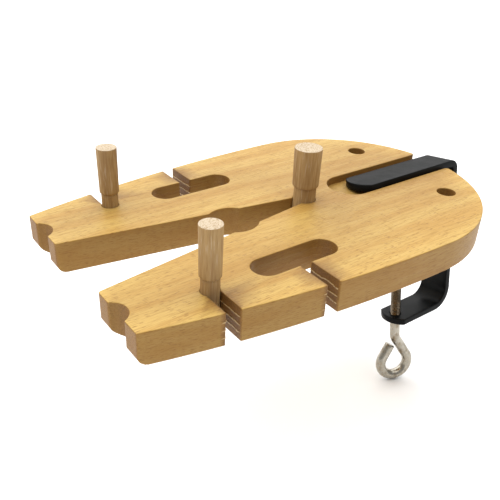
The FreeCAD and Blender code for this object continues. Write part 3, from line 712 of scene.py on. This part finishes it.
def sweep_rod(bm, points, radius, segments=40):
    """A round rod along a line in the XZ plane, with a cut end broken at its edge."""
    rings = []
    count = len(points)
    for i, (x, z) in enumerate(points):
        px, pz = points[max(0, i - 1)]
        nx, nz = points[min(count - 1, i + 1)]
        along = Vector((nx - px, 0, nz - pz)).normalized()
        across = Vector((along.z, 0, -along.x))
        ring = []
        for k in range(segments):
            a = 2 * math.pi * k / segments
            sideways = Vector((0, radius * math.sin(a), 0))
            ring.append(Vector((x, 0, z)) + across * (radius * math.cos(a)) + sideways)
        rings.append((ring, Vector((x, 0, z)), along))
    centre, along = rings[-1][1], rings[-1][2]
    last = rings[-1][0]
    rings[-1] = ([p - along * 0.5 for p in last], centre, along)
    rings.append(([centre + (p - centre) * 0.96 - along * 0.15 for p in last], centre, along))
    rings.append(([centre + (p - centre) * 0.86 for p in last], centre, along))
    made = [[bm.verts.new(p) for p in ring] for ring, _, _ in rings]
    for low, high in zip(made, made[1:]):
        bridge(bm, low, high)
    bm.faces.new(made[-1])
    bm.faces.new(made[0])
    bmesh.ops.triangulate(bm, faces=[f for f in bm.faces if len(f.verts) > 4])


def make_screw():
    thread = make_thread()
    thread_piece = make_object("clamp_screw_thread", thread, "screw", ["clamp_screw"])
    bm = bmesh.new()
    sweep_rod(bm, eye_line(), SCREW_R)
    rod_piece = make_object("clamp_screw_eye", bm, "screw", [])
    return thread_piece, rod_piece


thread_piece, rod_piece = make_screw()
lean(thread_piece, EYE_TURN)
lean(rod_piece, EYE_TURN)


# ---------------------------------------------------------------- pressure pad

def make_pad():
    bm = bmesh.new()
    base = THREAD_TOP + 0.1
    top = base + 8.0
    flange = top - 2.5
    turned(bm, [(2.6, base + 0.1), (2.8, base), (6.6, base), (7.0, base + 0.4), (7.0, flange - 0.8),
                (7.25, flange - 0.25), (7.8, flange), (10.5, flange), (11.0, flange + 0.5),
                (11.0, top - 0.5), (10.5, top), (8.2, top), (7.9, top - 0.35), (6.2, top - 0.35),
                (5.9, top), (1.2, top), (0.0, top)], 72)
    return make_object("pressure_pad_disc", bm, "pad", ["pressure_pad"])


pad = make_pad()
lean(pad)


# ---------------------------------------------------------------- materials

class Nodes:
    """Short words for building a material's node tree."""

    def __init__(self, name):
        self.mat = bpy.data.materials.new(name)
        self.mat.use_nodes = True
        self.tree = self.mat.node_tree
        self.tree.nodes.clear()
        self.out = self.tree.nodes.new("ShaderNodeOutputMaterial")
        self.shader = self.tree.nodes.new("ShaderNodeBsdfPrincipled")
        self.link(self.shader.outputs[0], self.out.inputs["Surface"])
        self.coords = self.tree.nodes.new("ShaderNodeTexCoord").outputs["Object"]

    def link(self, source, target):
        self.tree.links.new(source, target)

    def put(self, socket, value):
        if hasattr(value, "is_linked"):
            self.link(value, socket)
        else:
            socket.default_value = value

    def stretch(self, sx, sy, sz, shift=(0, 0, 0)):
        """Coordinates measured in features: sizes are the features' lengths in mm."""
        node = self.tree.nodes.new("ShaderNodeMapping")
        node.inputs["Scale"].default_value = (1 / (sx * MM), 1 / (sy * MM), 1 / (sz * MM))
        node.inputs["Location"].default_value = shift
        self.link(self.coords, node.inputs["Vector"])
        return node.outputs[0]

    def noise(self, vector, detail=2.0, rough=0.5, distort=0.0):
        node = self.tree.nodes.new("ShaderNodeTexNoise")
        self.link(vector, node.inputs["Vector"])
        node.inputs["Scale"].default_value = 1.0
        node.inputs["Detail"].default_value = detail
        node.inputs["Roughness"].default_value = rough
        node.inputs["Distortion"].default_value = distort
        return node.outputs["Fac"]

    def cells(self, vector):
        node = self.tree.nodes.new("ShaderNodeTexVoronoi")
        self.link(vector, node.inputs["Vector"])
        node.inputs["Scale"].default_value = 1.0
        return node.outputs["Distance"], node.outputs["Color"]

    def ramp(self, value, low, high, to_low=0.0, to_high=1.0):
        node = self.tree.nodes.new("ShaderNodeMapRange")
        node.interpolation_type = "SMOOTHSTEP"
        self.put(node.inputs["Value"], value)
        node.inputs["From Min"].default_value = low
        node.inputs["From Max"].default_value = high
        node.inputs["To Min"].default_value = to_low
        node.inputs["To Max"].default_value = to_high
        return node.outputs[0]

    def math(self, kind, a, b=0.0):
        node = self.tree.nodes.new("ShaderNodeMath")
        node.operation = kind
        self.put(node.inputs[0], a)
        self.put(node.inputs[1], b)
        return node.outputs[0]

    def mix(self, share, a, b, kind="MIX"):
        node = self.tree.nodes.new("ShaderNodeMix")
        node.data_type = "RGBA"
        node.blend_type = kind
        self.put(node.inputs[0], share)
        self.put(node.inputs[6], a)
        self.put(node.inputs[7], b)
        return node.outputs[2]

    def part(self, vector, axis):
        node = self.tree.nodes.new("ShaderNodeSeparateXYZ")
        self.link(vector, node.inputs[0])
        return node.outputs[axis]

    def normal(self):
        node = self.tree.nodes.new("ShaderNodeTexCoord")
        return node.outputs["Normal"]

    def attribute(self, name):
        node = self.tree.nodes.new("ShaderNodeAttribute")
        node.attribute_name = name
        return node.outputs["Fac"]

    def bump(self, height, strength, distance):
        node = self.tree.nodes.new("ShaderNodeBump")
        node.inputs["Strength"].default_value = strength
        node.inputs["Distance"].default_value = distance * MM
        self.link(height, node.inputs["Height"])
        self.link(node.outputs[0], self.shader.inputs["Normal"])


def colour(r, g, b):
    return (r, g, b, 1.0)


def board_material():
    n = Nodes("board_beech")
    base = colour(0.560, 0.365, 0.100)
    warm = colour(0.490, 0.285, 0.064)
    brown = colour(0.215, 0.098, 0.021)
    # The very dark brown of the cut walls: rough end grain with the painted shade of the recesses in it.
    rough_cut_and_shade = colour(0.125, 0.052, 0.014)
    pale = colour(0.60, 0.43, 0.21)

    broad = n.noise(n.stretch(150, 11, 11), 2.0, 0.5)
    fibre = n.noise(n.stretch(13, 0.60, 0.60), 4.0, 0.75)
    tone = n.mix(n.ramp(broad, 0.38, 0.64), base, warm)
    tone = n.mix(n.math("MULTIPLY", n.ramp(fibre, 0.44, 0.66), 0.42), tone, brown)

    dash, pick = n.cells(n.stretch(5.2, 0.85, 0.85))
    chosen = n.ramp(n.part(pick, 0), 0.46, 0.54)
    flecks = n.math("MULTIPLY", n.ramp(dash, 0.34, 0.18), chosen)
    tone = n.mix(n.math("MULTIPLY", flecks, 0.62), tone, brown)

    side_share = n.math("ABSOLUTE", n.part(n.normal(), 1))
    on_side = n.ramp(side_share, 0.5, 0.9)
    # Faces turned along ±Y are drawn towards brown: partly the side grain's own darker tone, partly painted
    # shade for the sides that the overhead light reaches less.
    tone = n.mix(n.math("MULTIPLY", on_side, 0.62), tone, brown)
    long_dash, long_pick = n.cells(n.stretch(13.0, 2.0, 0.75, (3.0, 5.0, 7.0)))
    long_chosen = n.ramp(n.part(long_pick, 1), 0.34, 0.44)
    long_flecks = n.math("MULTIPLY", n.ramp(long_dash, 0.36, 0.14), long_chosen)
    long_flecks = n.math("MULTIPLY", long_flecks, on_side)
    tone = n.mix(n.math("MULTIPLY", long_flecks, 0.6), tone, brown)

    end_share = n.ramp(n.math("ABSOLUTE", n.part(n.normal(), 0)), 0.35, 0.95)
    pores = n.noise(n.stretch(1.0, 0.8, 0.8), 2.0, 0.6)
    end_tone = n.mix(n.ramp(pores, 0.30, 0.70), colour(0.25, 0.115, 0.026), colour(0.15, 0.062, 0.012))
    tone = n.mix(n.math("MULTIPLY", end_share, 0.85), tone, end_tone)

    # The cut walls are drawn towards the very dark brown: partly rough torn end grain, partly painted shade
    # in the slots, holes and channel.
    cut = n.attribute("cut")
    torn = n.noise(n.stretch(1.4, 1.4, 0.9), 4.0, 0.7)
    cut_and_shade_tone = n.mix(n.ramp(torn, 0.30, 0.70), rough_cut_and_shade, brown)
    tone = n.mix(n.math("MULTIPLY", cut, 0.8), tone, cut_and_shade_tone)
    ridge = n.math("MULTIPLY", n.attribute("ridge"), n.ramp(torn, 0.25, 0.55))
    tone = n.mix(n.ramp(ridge, 0.15, 0.8), tone, pale)

    n.link(tone, n.shader.inputs["Base Color"])
    sheen = n.ramp(fibre, 0.3, 0.8, 0.42, 0.62)
    n.link(sheen, n.shader.inputs["Roughness"])
    n.shader.inputs["Specular IOR Level"].default_value = 0.22
    height = n.math("ADD", n.math("MULTIPLY", fibre, 0.5), n.math("MULTIPLY", flecks, -0.8))
    height = n.math("ADD", height, n.math("MULTIPLY", n.math("MULTIPLY", torn, cut), 2.0))
    n.bump(height, 0.35, 0.25)
    return n.mat


def peg_material(name):
    n = Nodes(name)
    base = colour(0.40, 0.255, 0.105)
    grey = colour(0.30, 0.18, 0.072)
    brown = colour(0.22, 0.115, 0.042)
    pale = colour(0.54, 0.44, 0.31)
    broad = n.noise(n.stretch(5.0, 5.0, 40), 3.0, 0.55)
    fibre = n.noise(n.stretch(0.9, 0.9, 14), 3.0, 0.6)
    tone = n.mix(n.ramp(broad, 0.35, 0.65), base, grey)
    tone = n.mix(n.math("MULTIPLY", n.ramp(fibre, 0.45, 0.72), 0.55), tone, brown)
    tone = n.mix(n.math("MULTIPLY", n.ramp(fibre, 0.45, 0.25), 0.5), tone, pale)
    up = n.ramp(n.part(n.normal(), 2), 0.6, 0.9)
    pores = n.noise(n.stretch(0.7, 0.7, 3.0), 2.0, 0.65)
    sawn = n.mix(n.ramp(pores, 0.50, 0.66), pale, grey)
    tone = n.mix(up, tone, sawn)
    n.link(tone, n.shader.inputs["Base Color"])
    n.shader.inputs["Roughness"].default_value = 0.62
    n.shader.inputs["Specular IOR Level"].default_value = 0.25
    height = n.math("ADD", fibre, n.math("MULTIPLY", pores, up))
    n.bump(height, 0.5, 0.2)
    return n.mat


def black_material():
    n = Nodes("black_steel")
    black = colour(0.0035, 0.0035, 0.0035)
    dusty = colour(0.008, 0.009, 0.009)
    wear = n.noise(n.stretch(22, 22, 22), 4.0, 0.6)
    scuff = n.noise(n.stretch(18, 1.3, 1.3, (4, 2, 9)), 3.0, 0.7, 0.4)
    tone = n.mix(n.ramp(wear, 0.35, 0.7), black, dusty)
    tone = n.mix(n.math("MULTIPLY", n.ramp(scuff, 0.66, 0.80), 0.4), tone, colour(0.035, 0.037, 0.038))
    n.link(tone, n.shader.inputs["Base Color"])
    n.link(n.ramp(wear, 0.3, 0.7, 0.30, 0.46), n.shader.inputs["Roughness"])
    n.shader.inputs["Specular IOR Level"].default_value = 0.07
    grain = n.noise(n.stretch(0.8, 0.8, 0.8), 2.0, 0.5)
    n.bump(grain, 0.15, 0.1)
    return n.mat


def plated_material(name, dark):
    n = Nodes(name)
    bright = colour(0.40, 0.37, 0.31) if not dark else colour(0.13, 0.10, 0.068)
    tarnish = colour(0.24, 0.19, 0.13) if not dark else colour(0.05, 0.035, 0.02)
    stain = n.noise(n.stretch(5, 5, 9), 4.0, 0.65)
    tone = n.mix(n.ramp(stain, 0.48, 0.72), bright, tarnish)
    n.link(tone, n.shader.inputs["Base Color"])
    n.shader.inputs["Metallic"].default_value = 1.0
    n.link(n.ramp(stain, 0.3, 0.7, 0.18, 0.40), n.shader.inputs["Roughness"])
    grain = n.noise(n.stretch(0.9, 0.9, 2.2), 3.0, 0.6)
    n.bump(grain, 0.2, 0.12)
    return n.mat


def dress(piece, material):
    piece.data.materials.clear()
    piece.data.materials.append(material)


dress(board, board_material())
for peg in pegs:
    dress(peg, peg_material(peg.name))
dress(strap, black_material())
dress(thread_piece, plated_material("thread_steel", True))
plated = plated_material("plated_steel", False)
dress(rod_piece, plated)
dress(pad, plated)


# ---------------------------------------------------------------- floor, light and camera

FLOOR_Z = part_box("clamp_screw")[0].z - 0.0005
FLOOR_HALF = 6.0


def make_floor():
    bm = bmesh.new()
    signs = ((-1, -1), (1, -1), (1, 1), (-1, 1))
    corners = [(x * FLOOR_HALF, y * FLOOR_HALF, FLOOR_Z) for x, y in signs]
    bm.faces.new([bm.verts.new(corner) for corner in corners])
    mesh = bpy.data.meshes.new("floor")
    bm.to_mesh(mesh)
    bm.free()
    floor = bpy.data.objects.new("floor", mesh)
    bpy.context.scene.collection.objects.link(floor)
    n = Nodes("floor_white")
    n.shader.inputs["Base Color"].default_value = colour(0.96, 0.96, 0.96)
    n.shader.inputs["Roughness"].default_value = 0.9
    n.shader.inputs["Specular IOR Level"].default_value = 0.1
    dress(floor, n.mat)


make_floor()


def sun_light(name, heading, height, strength, spread):
    """A broad soft light that is even over the whole floor. Angles are in degrees."""
    data = bpy.data.lights.new(name, "SUN")
    data.energy = strength
    data.angle = math.radians(spread)
    lamp = bpy.data.objects.new(name, data)
    around = Matrix.Rotation(math.radians(heading), 4, "Z")
    lamp.matrix_world = around @ Matrix.Rotation(math.radians(90 - height), 4, "Y")
    bpy.context.scene.collection.objects.link(lamp)


# The broad light comes from above and a little from the far side.
PANEL_HEADING, PANEL_HEIGHT = 80.0, 66.0
PANEL_STRENGTH, PANEL_SPREAD = 4.8, 115.0
WORLD_STRENGTH = 0.38

sun_light("overhead_panel", PANEL_HEADING, PANEL_HEIGHT, PANEL_STRENGTH, PANEL_SPREAD)

world = bpy.data.worlds.new("studio")
world.use_nodes = True
world.node_tree.nodes["Background"].inputs["Color"].default_value = (1, 1, 1, 1)
world.node_tree.nodes["Background"].inputs["Strength"].default_value = WORLD_STRENGTH
bpy.context.scene.world = world
bpy.context.scene.view_settings.view_transform = "Standard"
bpy.context.scene.view_settings.look = "None"

CAMERA_PLACE = (-0.35278, -0.28130, 0.20148)
CAMERA_HEADING, CAMERA_DOWN, CAMERA_ROLL = 37.72, 30.30, 2.79
CAMERA_LENS = 45.72


def make_camera():
    data = bpy.data.cameras.new("camera")
    data.lens = CAMERA_LENS
    data.sensor_width = 36.0
    data.clip_start, data.clip_end = 0.01, 50.0
    camera = bpy.data.objects.new("camera", data)
    heading, down, roll = (math.radians(a) for a in (CAMERA_HEADING, CAMERA_DOWN, CAMERA_ROLL))
    look = Matrix.Rotation(-heading, 4, "Z") @ Matrix.Rotation(math.pi / 2 - down, 4, "X")
    camera.matrix_world = Matrix.Translation(CAMERA_PLACE) @ look @ Matrix.Rotation(roll, 4, "Z")
    bpy.context.scene.collection.objects.link(camera)
    bpy.context.scene.camera = camera


make_camera()
